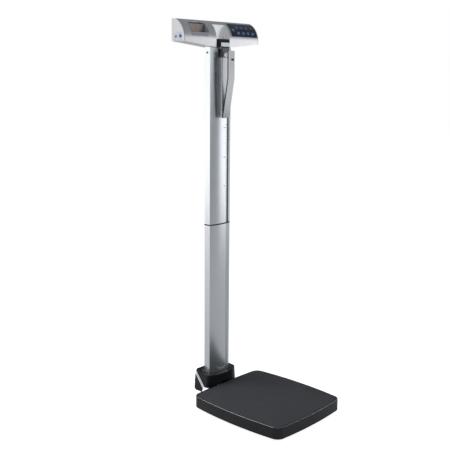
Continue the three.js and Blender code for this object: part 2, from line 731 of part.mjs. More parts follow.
function buildElectronics() {
  const board = MAIN_BOARD;
  const slab = box(board.x0, board.x1, board.y, board.y + board.thick, board.z0, board.z1);
  piece('main_board', slab, MATERIALS.board);
  const { x0, x1, y0, y1, z0, z1, wall } = BATTERY_BOX;
  const room = box(x0 + wall, x1 - wall, y0 + wall, y1 + 1, z0 + wall, z1 - wall);
  piece('battery_box', box(x0, x1, y0, y1, z0, z1).subtract(room), MATERIALS.black);
  const b = BRACKET;
  piece('head_bracket', box(b.x0, b.x1, b.y0, b.y1, b.z0, b.z1), MATERIALS.steel);
}

// ---------------------------------------------------------------- signal cable, base to head

const CABLE = { radius: 2.25, sides: 8, steps: 84 };
const CABLE_ROUTE = [
  [-20, -45, 42.5], [-24, -10, 43.3], [-30, 40, 43.6], [-32, 90, 43.6], [-32, 130, 43.6], [-32, 162, 44.4],
  [-32, 178, 50], [-32, 183, 66], [-32, 184, 100], [-32, 184, 300], [-32, 184, 500], [-32, 184, 700],
  [-32, 184, 900], [-35, 184, 1040], [-39, 185, 1120], [-39, 188, 1180], [-39, 190, 1225],
  [-38.5, 195, 1243], [-30, 200, 1254], [-16, 201.5, 1260], [10, 202, 1262], [46, 202, 1262],
];

function buildCable() {
  const route = new THREE.CatmullRomCurve3(CABLE_ROUTE.map((point) => new THREE.Vector3(...point)));
  const ring = [];
  for (let i = 0; i < CABLE.sides; i += 1) {
    const angle = (2 * Math.PI * i) / CABLE.sides;
    ring.push(new THREE.Vector2(CABLE.radius * Math.cos(angle), CABLE.radius * Math.sin(angle)));
  }
  const section = new THREE.Shape(ring);
  const geometry = new THREE.ExtrudeGeometry(section, { steps: CABLE.steps, extrudePath: route });
  piece('signal_cable', solid(geometry), MATERIALS.cable);
}

// ---------------------------------------------------------------- assembly

buildPlatform();
buildBaseFrame();
buildFeet();
buildPillarFoot();
buildWheels();
buildBoot();
buildColumn();
buildSplice();
buildRods();
buildCap();
buildKnuckle();
buildHeadpiece();
buildShell();
buildBackCover();
buildEndCaps();
buildPorts();
buildDisplay();
buildKeypad();
buildElectronics();
buildCable();

export default scale;
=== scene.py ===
"""The looks of a physician's digital scale with a height rod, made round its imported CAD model.

Metres. -Y is the front, where a person steps on, +X is the right of somebody who faces the
column, and +Z is up.
"""
import json
import math

import bmesh
import bpy
from mathutils import Matrix, Vector

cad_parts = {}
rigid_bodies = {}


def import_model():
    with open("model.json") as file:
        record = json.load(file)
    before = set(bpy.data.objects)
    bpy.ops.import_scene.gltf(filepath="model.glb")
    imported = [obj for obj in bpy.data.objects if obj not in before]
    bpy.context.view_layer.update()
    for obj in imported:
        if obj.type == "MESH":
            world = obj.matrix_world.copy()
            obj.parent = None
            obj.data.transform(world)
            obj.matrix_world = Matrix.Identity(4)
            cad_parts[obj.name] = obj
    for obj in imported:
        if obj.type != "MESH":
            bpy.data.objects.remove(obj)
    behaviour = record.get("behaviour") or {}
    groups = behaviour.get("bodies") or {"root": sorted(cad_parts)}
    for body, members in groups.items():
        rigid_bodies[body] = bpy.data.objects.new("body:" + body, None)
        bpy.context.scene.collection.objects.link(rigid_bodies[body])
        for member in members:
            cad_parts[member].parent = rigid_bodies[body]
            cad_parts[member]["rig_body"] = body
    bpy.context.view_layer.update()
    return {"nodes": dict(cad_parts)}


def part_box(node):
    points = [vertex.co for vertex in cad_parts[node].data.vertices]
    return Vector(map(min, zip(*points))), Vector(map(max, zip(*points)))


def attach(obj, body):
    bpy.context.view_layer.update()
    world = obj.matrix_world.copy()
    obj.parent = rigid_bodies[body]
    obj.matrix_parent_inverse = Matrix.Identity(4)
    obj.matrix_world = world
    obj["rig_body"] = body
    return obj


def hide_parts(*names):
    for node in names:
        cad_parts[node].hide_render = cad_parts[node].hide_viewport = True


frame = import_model()

MM = 0.001
SMOOTH_ANGLE = math.radians(32)  # edges sharper than this are rounded
JOIN_DISTANCE = 0.002 * MM
FLAT_ANGLE = math.radians(0.3)  # facets that meet at less than this are made one face
QUARTER_STEPS = 8  # facets in a small quarter round

PLATFORM_LOW, PLATFORM_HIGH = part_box("platform_cover")
MAT_LOW, MAT_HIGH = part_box("platform_mat")
COLUMN_LOW, COLUMN_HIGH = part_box("upper_column")
FOOT_OF_COLUMN, TOP_OF_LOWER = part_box("lower_column")
SHELL_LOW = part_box("head_shell")[0]
WINDOW_LOW, WINDOW_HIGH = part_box("display_window")
LCD_LOW, LCD_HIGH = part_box("lcd_module")

# ---------------------------------------------------------------- camera, floor and lights

CAMERA = {
    "place": (-1.9096, -1.6374, 1.1267),
    "turn": math.radians(46.957),
    "dip": math.radians(10.926),
    "roll": math.radians(0.361),
    "lens": 61.79,
}


def make_camera():
    turn, dip, roll = CAMERA["turn"], CAMERA["dip"], CAMERA["roll"]
    ahead = Vector((math.sin(turn) * math.cos(dip), math.cos(turn) * math.cos(dip), -math.sin(dip)))
    level = Vector((math.cos(turn), -math.sin(turn), 0))
    upright = level.cross(ahead)
    right = level * math.cos(roll) + upright * math.sin(roll)
    up = upright * math.cos(roll) - level * math.sin(roll)
    data = bpy.data.cameras.new("camera")
    data.lens = CAMERA["lens"]
    camera = bpy.data.objects.new("camera", data)
    turned = Matrix((right, up, -ahead)).transposed().to_4x4()
    camera.matrix_world = Matrix.Translation(CAMERA["place"]) @ turned
    bpy.context.scene.collection.objects.link(camera)
    bpy.context.scene.camera = camera


def make_light(name, place, target, width, height, brightness):
    """A soft panel. Brightness is how bright its face looks, where 1 is white."""
    data = bpy.data.lights.new(name, "AREA")
    data.shape = "RECTANGLE"
    data.size = width
    data.size_y = height
    data.energy = brightness * math.pi * width * height
    light = bpy.data.objects.new(name, data)
    toward = Vector(target) - Vector(place)
    light.matrix_world = Matrix.Translation(place) @ toward.to_track_quat("-Z", "Y").to_matrix().to_4x4()
    bpy.context.scene.collection.objects.link(light)


def make_world():
    """A soft, cool grey room, which the camera sees as white."""
    world = bpy.data.worlds.new("studio")
    world.use_nodes = True
    tree = world.node_tree
    room = tree.nodes["Background"]
    room.inputs["Color"].default_value = (0.87, 0.93, 1, 1)
    room.inputs["Strength"].default_value = 0.28
    backdrop = tree.nodes.new("ShaderNodeBackground")
    backdrop.inputs["Color"].default_value = (1, 1, 1, 1)
    path = tree.nodes.new("ShaderNodeLightPath")
    mix = tree.nodes.new("ShaderNodeMixShader")
    tree.links.new(path.outputs["Is Camera Ray"], mix.inputs[0])
    tree.links.new(room.outputs[0], mix.inputs[1])
    tree.links.new(backdrop.outputs[0], mix.inputs[2])
    tree.links.new(mix.outputs[0], tree.nodes["World Output"].inputs["Surface"])
    bpy.context.scene.world = world


def make_floor():
    """A pale floor, which the camera sees as white and which glows a little in reflections."""
    bm = bmesh.new()
    bmesh.ops.create_grid(bm, x_segments=2, y_segments=2, size=12)
    mesh = bpy.data.meshes.new("floor")
    bm.to_mesh(mesh)
    bm.free()
    floor = bpy.data.objects.new("floor", mesh)
    bpy.context.scene.collection.objects.link(floor)
    material = bpy.data.materials.new("pale_floor")
    material.use_nodes = True
    tree = material.node_tree
    shader = tree.nodes["Principled BSDF"]
    shader.inputs["Base Color"].default_value = (0.72, 0.72, 0.72, 1)
    shader.inputs["Roughness"].default_value = 0.9
    shader.inputs["Emission Color"].default_value = (1, 1, 1, 1)
    path = tree.nodes.new("ShaderNodeLightPath")
    glow = tree.nodes.new("ShaderNodeMapRange")
    glow.inputs["To Min"].default_value = 0.21
    glow.inputs["To Max"].default_value = 0.9
    tree.links.new(path.outputs["Is Camera Ray"], glow.inputs["Value"])
    tree.links.new(glow.outputs["Result"], shader.inputs["Emission Strength"])
    mesh.materials.append(material)


def make_studio():
    scene = bpy.context.scene
    scene.view_settings.view_transform = "Standard"
    make_world()
    make_floor()
    middle = (0, 0.15, 0.95)
    make_light("panel_right", (2.81, -1.79, 0.95), middle, 1.6, 1.8, 1.45)
    make_light("panel_back_left", (-3.0, 2.9, 1.0), middle, 3.2, 1.95, 1.4)
    make_light("panel_front", (0.9, -3.1, 1.8), (0, 0.15, 1.8), 1.2, 1.5, 0.95)
    make_light("panel_camera_side", (-2.75, -2.4, 1.5), (0, 0.15, 1.2), 1.1, 1.5, 1.7)
    make_light("panel_over_floor", (-1.6, 1.8, 2.4), (-1.6, 1.8, 0), 2.4, 2.4, 2.3)


# ---------------------------------------------------------------- materials

def add_node(material, kind):
    return material.node_tree.nodes.new(kind)


def connect(material, source, target):
    material.node_tree.links.new(source, target)


def shader_of(material):
    return material.node_tree.nodes["Principled BSDF"]


def new_material(name, colour, roughness, metallic=0.0, **sockets):
    """A material whose other sockets are given by name, with _ for each space."""
    material = bpy.data.materials.new(name)
    material.use_nodes = True
    shader = shader_of(material)
    shader.inputs["Base Color"].default_value = (*colour, 1)
    shader.inputs["Roughness"].default_value = roughness
    shader.inputs["Metallic"].default_value = metallic
    for socket, value in sockets.items():
        shader.inputs[socket.replace("_", " ")].default_value = value
    return material


def noise(material, size, stretch=(1, 1, 1), detail=3.0):
    """Noise whose spots are about `size` across, drawn out along the axes by `stretch`."""
    place = add_node(material, "ShaderNodeTexCoord")
    mapping = add_node(material, "ShaderNodeMapping")
    mapping.inputs["Scale"].default_value = [1 / (size * s) for s in stretch]
    field = add_node(material, "ShaderNodeTexNoise")
    field.inputs["Scale"].default_value = 1
    field.inputs["Detail"].default_value = detail
    connect(material, place.outputs["Object"], mapping.inputs["Vector"])
    connect(material, mapping.outputs[0], field.inputs["Vector"])
    return field.outputs["Fac"]


def vary_colour(material, field, dark, light, low=0.35, high=0.65):
    ramp = add_node(material, "ShaderNodeValToRGB")
    ramp.color_ramp.elements[0].position = low
    ramp.color_ramp.elements[0].color = (*dark, 1)
    ramp.color_ramp.elements[1].position = high
    ramp.color_ramp.elements[1].color = (*light, 1)
    connect(material, field, ramp.inputs["Fac"])
    connect(material, ramp.outputs["Color"], shader_of(material).inputs["Base Color"])


def vary_roughness(material, field, smooth, rough):
    spread = add_node(material, "ShaderNodeMapRange")
    spread.inputs["From Min"].default_value = 0.3
    spread.inputs["From Max"].default_value = 0.7
    spread.inputs["To Min"].default_value = smooth
    spread.inputs["To Max"].default_value = rough
    connect(material, field, spread.inputs["Value"])
    connect(material, spread.outputs["Result"], shader_of(material).inputs["Roughness"])


def add_bump(material, field, height, strength):
    bump = add_node(material, "ShaderNodeBump")
    bump.inputs["Strength"].default_value = strength
    bump.inputs["Distance"].default_value = height
    connect(material, field, bump.inputs["Height"])
    connect(material, bump.outputs["Normal"], shader_of(material).inputs["Normal"])


def anodised_aluminium():
    """Satin extrusion: fine lines drawn along its length."""
    material = new_material("anodised_aluminium", (0.6, 0.62, 0.645), 0.26, 1)
    lines = noise(material, 0.5 * MM, (1, 1, 400), 2)
    vary_colour(material, lines, (0.575, 0.6, 0.625), (0.62, 0.645, 0.67))
    vary_roughness(material, noise(material, 45 * MM, (1, 1, 12)), 0.245, 0.275)
    add_bump(material, lines, 0.004 * MM, 0.12)
    return material


def silver_paint():
    """Metallic silver lacquer on sheet metal, with a fine flake."""
    material = new_material("silver_paint", (0.72, 0.72, 0.73), 0.32, 0.85)
    flake = noise(material, 0.35 * MM, detail=4)
    vary_colour(material, flake, (0.68, 0.68, 0.69), (0.76, 0.76, 0.77), 0.3, 0.7)
    vary_roughness(material, noise(material, 25 * MM), 0.3, 0.34)
    add_bump(material, flake, 0.003 * MM, 0.3)
    return material


def cap_paint():
    """The same silver on the moulded end caps, duller than on metal as paint on plastic, and darker as
    painted shade where the side lamps fall strongly on the end caps.
    """
    material = new_material("cap_paint", (0.6, 0.6, 0.61), 0.42, 0.5)
    flake = noise(material, 0.35 * MM, detail=4)
    vary_colour(material, flake, (0.56, 0.56, 0.57), (0.64, 0.64, 0.65), 0.3, 0.7)
    add_bump(material, flake, 0.003 * MM, 0.3)
    return material


def chrome_plate():
    material = new_material("chrome_plate", (0.72, 0.73, 0.74), 0.12, 1)
    haze = noise(material, 12 * MM)
    vary_colour(material, haze, (0.68, 0.69, 0.7), (0.76, 0.77, 0.78))
    vary_roughness(material, haze, 0.08, 0.18)
    add_bump(material, noise(material, 6 * MM), 0.01 * MM, 0.2)
    return material


def satin_steel(name, dark, light, stretch, smooth=0.28, rough=0.42):
    """Rolled sheet, grained along one axis."""
    material = new_material(name, light, rough, 1)
    grain = noise(material, 0.6 * MM, stretch, 2)
    vary_colour(material, grain, dark, light)
    vary_roughness(material, grain, smooth, rough)
    add_bump(material, grain, 0.006 * MM, 0.4)
    return material


def moulded_plastic(name, dark, light, smooth, rough):
    """Injection-moulded shell with a fine spark-eroded grain."""
    material = new_material(name, light, rough)
    grain = noise(material, 0.7 * MM, detail=5)
    vary_colour(material, noise(material, 40 * MM), dark, light)
    vary_roughness(material, grain, smooth, rough)
    add_bump(material, grain, 0.03 * MM, 0.5)
    return material


def black_plastic():
    material = moulded_plastic("black_plastic", (0.008, 0.0085, 0.011), (0.011, 0.0118, 0.0145), 0.27, 0.38)
    shader_of(material).inputs["Specular IOR Level"].default_value = 0.3
    return material


def mat_rubber():
    """Ribbed mat, matt, with the dull patches that shoes leave."""
    material = new_material("mat_rubber", (0.06, 0.06, 0.069), 0.6)
    patches = noise(material, 90 * MM, detail=5)
    vary_colour(material, patches, (0.056, 0.056, 0.064), (0.065, 0.065, 0.074), 0.3, 0.7)
    vary_roughness(material, noise(material, 30 * MM, detail=5), 0.56, 0.64)
    add_bump(material, noise(material, 0.8 * MM, detail=4), 0.08 * MM, 0.6)
    return material


def soft_rubber():
    material = new_material("soft_rubber", (0.02, 0.02, 0.02), 0.8)
    vary_colour(material, noise(material, 9 * MM), (0.013, 0.013, 0.013), (0.026, 0.026, 0.026))
    add_bump(material, noise(material, 0.9 * MM), 0.05 * MM, 0.5)
    return material


def printed_film(name, dark, light, roughness):
    """Membrane film printed from behind, with a slight orange-peel surface."""
    material = new_material(name, light, roughness, Coat_Weight=0.3, Coat_Roughness=0.2)
    vary_colour(material, noise(material, 3 * MM), dark, light)
    add_bump(material, noise(material, 1.2 * MM), 0.01 * MM, 0.3)
    return material


def smoked_glass():
    material = new_material("smoked_glass", (0.05, 0.035, 0.06), 0.05,
                            Alpha=0.2, Coat_Weight=1.0, Coat_Roughness=0.03)
    vary_colour(material, noise(material, 20 * MM), (0.045, 0.03, 0.055), (0.06, 0.042, 0.07))
    return material


def liquid_crystal():
    """Unlit display: amber polariser with a fine vertical grain."""
    material = new_material("liquid_crystal", (0.7, 0.55, 0.4), 0.3)
    vary_colour(material, noise(material, 5 * MM, (1, 1, 4)), (0.66, 0.51, 0.36), (0.8, 0.66, 0.5))
    return material


def circuit_board():
    material = new_material("circuit_board", (0.02, 0.13, 0.05), 0.45)
    tracks = noise(material, 1.5 * MM, (6, 1, 1))
    vary_colour(material, tracks, (0.012, 0.09, 0.035), (0.03, 0.17, 0.07), 0.48, 0.52)
    return material


MATERIALS = {
    "aluminium": anodised_aluminium(),
    "silver": silver_paint(),
    "cap": cap_paint(),
    "chrome": chrome_plate(),
    "trim": satin_steel("bright_trim", (0.78, 0.78, 0.79), (0.88, 0.88, 0.89), (1, 1, 1)),
    "paddle": satin_steel("satin_plate", (0.27, 0.28, 0.285), (0.32, 0.33, 0.335), (1, 1, 300), 0.18, 0.26),
    "strip": satin_steel("satin_strip", (0.46, 0.47, 0.48), (0.53, 0.54, 0.55), (1, 1, 300)),
    # Bright metal for the beads that paint highlights along the platform's and the collar's edges.
    "edge": satin_steel("painted_highlight_metal", (0.5, 0.5, 0.51), (0.58, 0.58, 0.59), (1, 1, 1)),
    # Dark grey for the strip in the upper groove: painted shade.
    "groove": moulded_plastic("groove_strip", (0.21, 0.21, 0.22), (0.25, 0.25, 0.26), 0.4, 0.5),
    "dark_chrome": satin_steel("dark_chrome", (0.09, 0.09, 0.095), (0.12, 0.12, 0.125), (1, 1, 1)),
    "steel": satin_steel("zinc_steel", (0.46, 0.47, 0.49), (0.58, 0.59, 0.61), (300, 1, 1)),
    "screw": satin_steel("blackened_steel", (0.03, 0.03, 0.032), (0.06, 0.06, 0.065), (1, 1, 1)),
    "black": black_plastic(),
    "mat": mat_rubber(),
    "rubber": soft_rubber(),
    "navy": printed_film("navy_film", (0.003, 0.005, 0.02), (0.005, 0.009, 0.032), 0.3),
    "key": printed_film("key_film", (0.03, 0.085, 0.21), (0.045, 0.12, 0.28), 0.35),
    "red_key": printed_film("red_key_film", (0.05, 0.035, 0.06), (0.08, 0.05, 0.09), 0.35),
    "label": printed_film("label_film", (0.36, 0.38, 0.45), (0.42, 0.44, 0.51), 0.4),
    "ink": printed_film("pale_ink", (0.55, 0.58, 0.66), (0.7, 0.73, 0.8), 0.5),
    "socket": moulded_plastic("grey_socket", (0.4, 0.45, 0.53), (0.46, 0.51, 0.59), 0.35, 0.45),
    "print": printed_film("dark_print", (0.03, 0.03, 0.035), (0.06, 0.06, 0.07), 0.5),
    "glass": smoked_glass(),
    # Paler than the real surround: painted light for the shade behind the smoked glass.
    "mask": printed_film("display_mask", (0.46, 0.46, 0.48), (0.52, 0.52, 0.54), 0.35),
    # A pale lining, painted light on the shaded walls of the display opening.
    "lining": printed_film("display_lining", (0.4, 0.4, 0.41), (0.46, 0.46, 0.47), 0.5),
    "lcd": liquid_crystal(),
    "segment": printed_film("display_segment", (0.16, 0.1, 0.05), (0.22, 0.14, 0.08), 0.3),
    "board": circuit_board(),
    "panel": moulded_plastic("port_plastic", (0.62, 0.68, 0.8), (0.7, 0.76, 0.87), 0.35, 0.45),
    "cable": moulded_plastic("cable_jacket", (0.012, 0.012, 0.013), (0.02, 0.02, 0.022), 0.45, 0.6),
}

# ---------------------------------------------------------------- piece helpers


def finish_mesh(name, bm, material, body, rounding=0.0, segments=3):
    """Turns a bmesh into a piece: smooth, rounded along its sharp edges, and riding on its body."""
    bmesh.ops.recalc_face_normals(bm, faces=bm.faces)
    for face in bm.faces:
        face.smooth = True
    mesh = bpy.data.meshes.new(name)
    bm.to_mesh(mesh)
    bm.free()
    mesh.materials.append(MATERIALS[material])
    piece = bpy.data.objects.new(name, mesh)
    bpy.context.scene.collection.objects.link(piece)
    if rounding:
        bevel = piece.modifiers.new("rounding", "BEVEL")
        bevel.width = rounding
        bevel.segments = segments
        bevel.limit_method = "ANGLE"
        bevel.angle_limit = SMOOTH_ANGLE
    weights = piece.modifiers.new("even_shading", "WEIGHTED_NORMAL")
    weights.keep_sharp = True
    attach(piece, body)
    return piece


def refine(node, material, rounding):
    """A fine copy of a CAD node: its flat faces whole again and its edges rounded by so many mm."""
    source = frame["nodes"][node]
    bm = bmesh.new()
    bm.from_mesh(source.data)
    bmesh.ops.remove_doubles(bm, verts=bm.verts, dist=JOIN_DISTANCE)
    bmesh.ops.dissolve_limit(bm, angle_limit=FLAT_ANGLE, verts=bm.verts, edges=bm.edges)
    piece = finish_mesh(f"{node}_fine", bm, material, source["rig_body"], rounding * MM)
    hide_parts(node)


def loft(bm, rings, ends=True):
    """Skins closed rings of points in turn, closes both ends, and returns the rings' vertices."""
    rows = [[bm.verts.new(point) for point in ring] for ring in rings]
    for low, high in zip(rows, rows[1:]):
        for i in range(len(low)):
            j = (i + 1) % len(low)
            bm.faces.new((low[i], low[j], high[j], high[i]))
    if ends:
        bm.faces.new(list(reversed(rows[0])))
        bm.faces.new(rows[-1])
    return rows


def bend(start, control, end, steps):
    """Points of a quadratic curve, without its last one."""
    points = []
    for i in range(steps):
        t = i / steps
        points.append(start * (1 - t) ** 2 + control * 2 * t * (1 - t) + end * t * t)
    return points


def arc(centre, radius, first, last, steps):
    """Points of an arc in plan, angles in degrees, without its last one."""
    points = []
    for i in range(steps):
        angle = math.radians(first + (last - first) * i / steps)
        points.append(centre + radius * Vector((math.cos(angle), math.sin(angle))))
    return points


def bar(bm, low, high):
    """Adds a plain block between two corners, for marks and segments too small to need more."""
    size = Vector(high) - Vector(low)
    middle = (Vector(high) + Vector(low)) / 2
    bmesh.ops.create_cube(bm, size=1, matrix=Matrix.Translation(middle) @ Matrix.Diagonal((*size, 1)))


# ---------------------------------------------------------------- platform

SIDE_BOW, FRONT_BOW, BACK_BOW = 10 * MM, 7 * MM, 4 * MM
CORNER = 29 * MM
EDGE_STEPS, BACK_STEPS, CORNER_STEPS = 40, 64, 12  # facets of an edge, the back edge and a corner


def platform_outline(inset):
    """Plan of the platform: a rounded rectangle whose edges bow outwards."""
    x = PLATFORM_HIGH.x - SIDE_BOW - inset
    front = PLATFORM_LOW.y + FRONT_BOW + inset
    back = PLATFORM_HIGH.y - BACK_BOW - inset
    r = CORNER - inset
    middle = (front + back) / 2
    # Control points twice the bow out, which puts the middle of each edge out by the bow.
    right, left = x + 2 * SIDE_BOW, -x - 2 * SIDE_BOW
    behind, ahead = back + 2 * BACK_BOW, front - 2 * FRONT_BOW
    points = bend(Vector((x, front + r)), Vector((right, middle)), Vector((x, back - r)), EDGE_STEPS)
    points += arc(Vector((x - r, back - r)), r, 0, 90, CORNER_STEPS)
    points += bend(Vector((x - r, back)), Vector((0, behind)), Vector((r - x, back)), BACK_STEPS)
    points += arc(Vector((r - x, back - r)), r, 90, 180, CORNER_STEPS)
    points += bend(Vector((-x, back - r)), Vector((left, middle)), Vector((-x, front + r)), EDGE_STEPS)
    points += arc(Vector((r - x, front + r)), r, 180, 270, CORNER_STEPS)
    points += bend(Vector((r - x, front)), Vector((0, ahead)), Vector((x - r, front)), EDGE_STEPS)
    points += arc(Vector((x - r, front + r)), r, 270, 360, CORNER_STEPS)
    return points


def raised_at_notch(plan, z, ceiling):
    """A ring at one height, lifted to the ceiling where the pillar bracket leaves at the back."""
    half, reach = 62 * MM, 20 * MM
    ring = []
    for x, y in plan:
        notched = abs(x) < half and y > PLATFORM_HIGH.y - reach
        ring.append(Vector((x, y, max(z, ceiling) if notched else z)))
    return ring


def build_platform_cover():
    """A shell, open underneath and notched at the back, with a tray for the mat in its top."""
    low, high, tray = PLATFORM_LOW.z, PLATFORM_HIGH.z, MAT_LOW.z - 0.3 * MM
    wall, edge, rim, shoulder, soft = 5 * MM, 2.4 * MM, 6.7 * MM, 6 * MM, 0.8 * MM
    inmost = CORNER - 1 * MM
    ceiling = tray - wall
    rings = [(inmost, ceiling), (wall, ceiling), (wall, low), (soft, low), (0, low + soft)]
    rings += [(0, high - edge - shoulder)]
    for step in range(QUARTER_STEPS + 1):
        angle = math.radians(90 * step / QUARTER_STEPS)
        rings.append((edge * (1 - math.cos(angle)), high - edge * (1 - math.sin(angle))))
    rings += [(rim - soft, high), (rim - 0.2 * MM, high - 0.25 * MM), (rim, high - soft)]
    rings += [(rim, tray), (inmost, tray)]
    bm = bmesh.new()
    loft(bm, [raised_at_notch(platform_outline(inset), z, ceiling) for inset, z in rings])
    piece = finish_mesh("platform_cover_fine", bm, "black", "base")
    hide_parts("platform_cover")


def build_bead(name, plan_at, level, radius):
    """A slim bright metal bead whose middle is as high as level(y), laid along an edge as a painted
    highlight.

    `plan_at` gives the closed plan it follows, moved inwards by a step.
    """
    steps = 12
    rings = []
    for step in range(steps + 1):
        angle = math.radians(360 * step / steps)
        plan = plan_at(-radius * math.cos(angle))
        rings.append([Vector((x, y, level(y) + radius * math.sin(angle))) for x, y in plan])
    bm = bmesh.new()
    loft(bm, rings, ends=False)
    bmesh.ops.remove_doubles(bm, verts=bm.verts, dist=JOIN_DISTANCE)
    finish_mesh(name, bm, "edge", "base")


# The bright line along the platform cover's top edge is painted on as a bead of bright metal.
def build_platform_edge():
    inset, radius = 1.5 * MM, 0.9 * MM
    level = PLATFORM_HIGH.z - radius - 0.2 * MM
    build_bead("platform_highlight_bead", lambda step: platform_outline(inset + step), lambda y: level, radius)


def build_platform_mat():
    """A rubber mat: a thin plate with rows of rounded ribs from front to back."""
    rib_height, rib_pitch = 0.55 * MM, 4.5 * MM
    rib_half, plate_drop = rib_pitch * 0.36, rib_height * 0.8
    border, edge, soft = 6 * MM, 7 * MM, 0.5 * MM
    low, high = MAT_LOW.z, MAT_HIGH.z - plate_drop
    rim = platform_outline(edge)
    bm = bmesh.new()
    rings = []
    for inset, z in [(0, low), (0, high - soft), (0.2 * MM, high - soft / 3), (0.6 * MM, high)]:
        rings.append([Vector((p.x, p.y, z)) for p in platform_outline(edge + inset)])
    loft(bm, rings)
    plate = finish_mesh("platform_mat_plate", bm, "mat", "base")
    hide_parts("platform_mat")

    bm = bmesh.new()
    count = int((MAT_HIGH.x - border) / rib_pitch)
    for index in range(-count, count + 1):
        x = index * rib_pitch
        ends = [p.y for p in rim if abs(p.x - x) < rib_pitch]
        add_rib(bm, x, min(ends) + border, max(ends) - border, high, rib_height, rib_half)
    ribs = finish_mesh("platform_mat_ribs", bm, "mat", "base")
    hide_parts("platform_mat")


def add_rib(bm, x, front, back, base, height, half):
    """One long rib with a round back and sloping ends, sunk a little into the mat."""
    slope, sunk = 3 * MM, 0.1 * MM
    profile = [(math.cos(math.radians(a)), math.sin(math.radians(a))) for a in range(0, 181, 30)]
    stations = [(front, 0.05), (front + slope / 2, 0.8), (front + slope, 1)]
    stations += [(back - slope, 1), (back - slope / 2, 0.8), (back, 0.05)]
    rings = []
    for y, swell in stations:
        rings.append([Vector((x + half * c, y, base - sunk + height * s * swell)) for c, s in profile])
    loft(bm, rings)


# ---------------------------------------------------------------- column

COLUMN_BOW = 6 * MM
COLUMN_WALL = 2.2 * MM
GROOVE_LEFT, GROOVE_RIGHT = 27.5 * MM, 39.5 * MM
GROOVE_DEPTH, FAINT_GROOVE = 5 * MM, 1 * MM  # in the upper and the lower column


def front_of_column(x):
    """Y of the column's bowed front face."""
    return COLUMN_LOW.y + COLUMN_BOW * (x / COLUMN_HIGH.x) ** 2


def column_plan(inset, groove):
    """Plan of the column from its left front corner round to its left back corner.

    `groove` is how deep the groove in its front is, or 0 for none.
    """
    half, back = COLUMN_HIGH.x - inset, COLUMN_HIGH.y - inset
    steps, corner = 44, 3 * MM
    points = []
    for i in range(steps + 1):
        x = half * (2 * i / steps - 1)
        if groove and GROOVE_LEFT < x < GROOVE_RIGHT:
            continue
        points.append((x, front_of_column(x) + inset))
    if groove:
        cut = [(x, front_of_column(x) + d) for x, d in
               [(GROOVE_LEFT, 0), (GROOVE_LEFT, groove), (GROOVE_RIGHT, groove), (GROOVE_RIGHT, 0)]]
        first_right = next(i for i, p in enumerate(points) if p[0] >= GROOVE_RIGHT)
        points[first_right:first_right] = cut
    points += [(half, back - corner), (half - corner, back), (corner - half, back), (-half, back - corner)]
    return points


def edges_round(bm, ring):
    """The edges that join a closed ring of vertices."""
    return [bm.edges.get((ring[i - 1], ring[i])) for i in range(len(ring))]


def build_column(node, low, high, groove):
    """One length of the extrusion, hollow and grooved, between the heights low(x) and high(x)."""
    outer = column_plan(0, groove)
    # A groove deeper than the wall moves the bore inwards by its depth.
    inner = column_plan(groove + COLUMN_WALL if groove > COLUMN_WALL else COLUMN_WALL, 0)
    bm = bmesh.new()
    skin = [[Vector((x, y, level(x))) for x, y in outer] for level in (low, high)]
    bore = [[Vector((x, y, level(x))) for x, y in inner] for level in (low, high)]
    outside = loft(bm, skin, ends=False)
    inside = loft(bm, bore, ends=False)
    for wall, hole in zip(outside, inside):
        edges = edges_round(bm, wall) + edges_round(bm, hole)
        bmesh.ops.triangle_fill(bm, use_beauty=True, edges=edges)
    piece = finish_mesh(f"{node}_fine", bm, "aluminium", "base", 0.9 * MM)
    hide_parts(node)


def underside_of_head(x):
    """Height of the head's V-shaped underside, less a small gap."""
    slope = (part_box("end_cap_right")[0].z - SHELL_LOW.z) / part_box("end_cap_right")[1].x
    return SHELL_LOW.z + slope * abs(x) - 0.5 * MM


def build_groove_strips():
    """A strip along the floor of the groove: dark in the upper column as painted shade inside the deeper
    groove, pale in the lower one.
    """
    under_head = underside_of_head(GROOVE_RIGHT) - 1 * MM
    margin, proud, sunk = 1.5 * MM, 0.6 * MM, 0.4 * MM
    sides = (GROOVE_LEFT + margin, GROOVE_RIGHT - margin)
    rows = [("upper", COLUMN_LOW.z, under_head, GROOVE_DEPTH, "groove"),
            ("lower", FOOT_OF_COLUMN.z, TOP_OF_LOWER.z, FAINT_GROOVE, "strip")]
    for name, low, high, depth, material in rows:
        plan = [(x, front_of_column(x) + depth - proud) for x in sides]
        plan += [(x, front_of_column(x) + depth + sunk) for x in reversed(sides)]
        bm = bmesh.new()
        loft(bm, [[Vector((x, y, z)) for x, y in plan] for z in (low, high)])
        finish_mesh(f"{name}_groove_strip", bm, material, "base", 0.2 * MM, 2)


def build_columns():
    build_column("lower_column", lambda x: FOOT_OF_COLUMN.z, lambda x: TOP_OF_LOWER.z, FAINT_GROOVE)
    build_column("upper_column", lambda x: COLUMN_LOW.z, underside_of_head, GROOVE_DEPTH)
    build_groove_strips()
    refine("column_gasket", "rubber", 0.5)
    for side in ("left", "right"):
        refine(f"column_screw_{side}", "screw", 0.4)


# ---------------------------------------------------------------- height marks

def number_mesh(text, size):
    """The outline of a number as a flat mesh in its own X and Y."""
    curve = bpy.data.curves.new("number", "FONT")
    curve.body = text
    curve.size = size
    curve.align_x = "RIGHT"
    curve.align_y = "CENTER"
    holder = bpy.data.objects.new("number", curve)
    mesh = bpy.data.meshes.new_from_object(holder)
    bpy.data.objects.remove(holder)
    bpy.data.curves.remove(curve)
    return mesh


MARK_PROUD, MARK_THICK = 0.08 * MM, 1.4 * MM
LONG_MARK, SHORT_MARK = 7 * MM, 5 * MM
NUMBER_SIZE, NUMBER_GAP = 6.5 * MM, 1.5 * MM
COLUMN_MARKS_LOW, COLUMN_MARKS_HIGH = 0.70, 0.97
UNMARKED_END = 60 * MM  # left bare at both ends of a rod


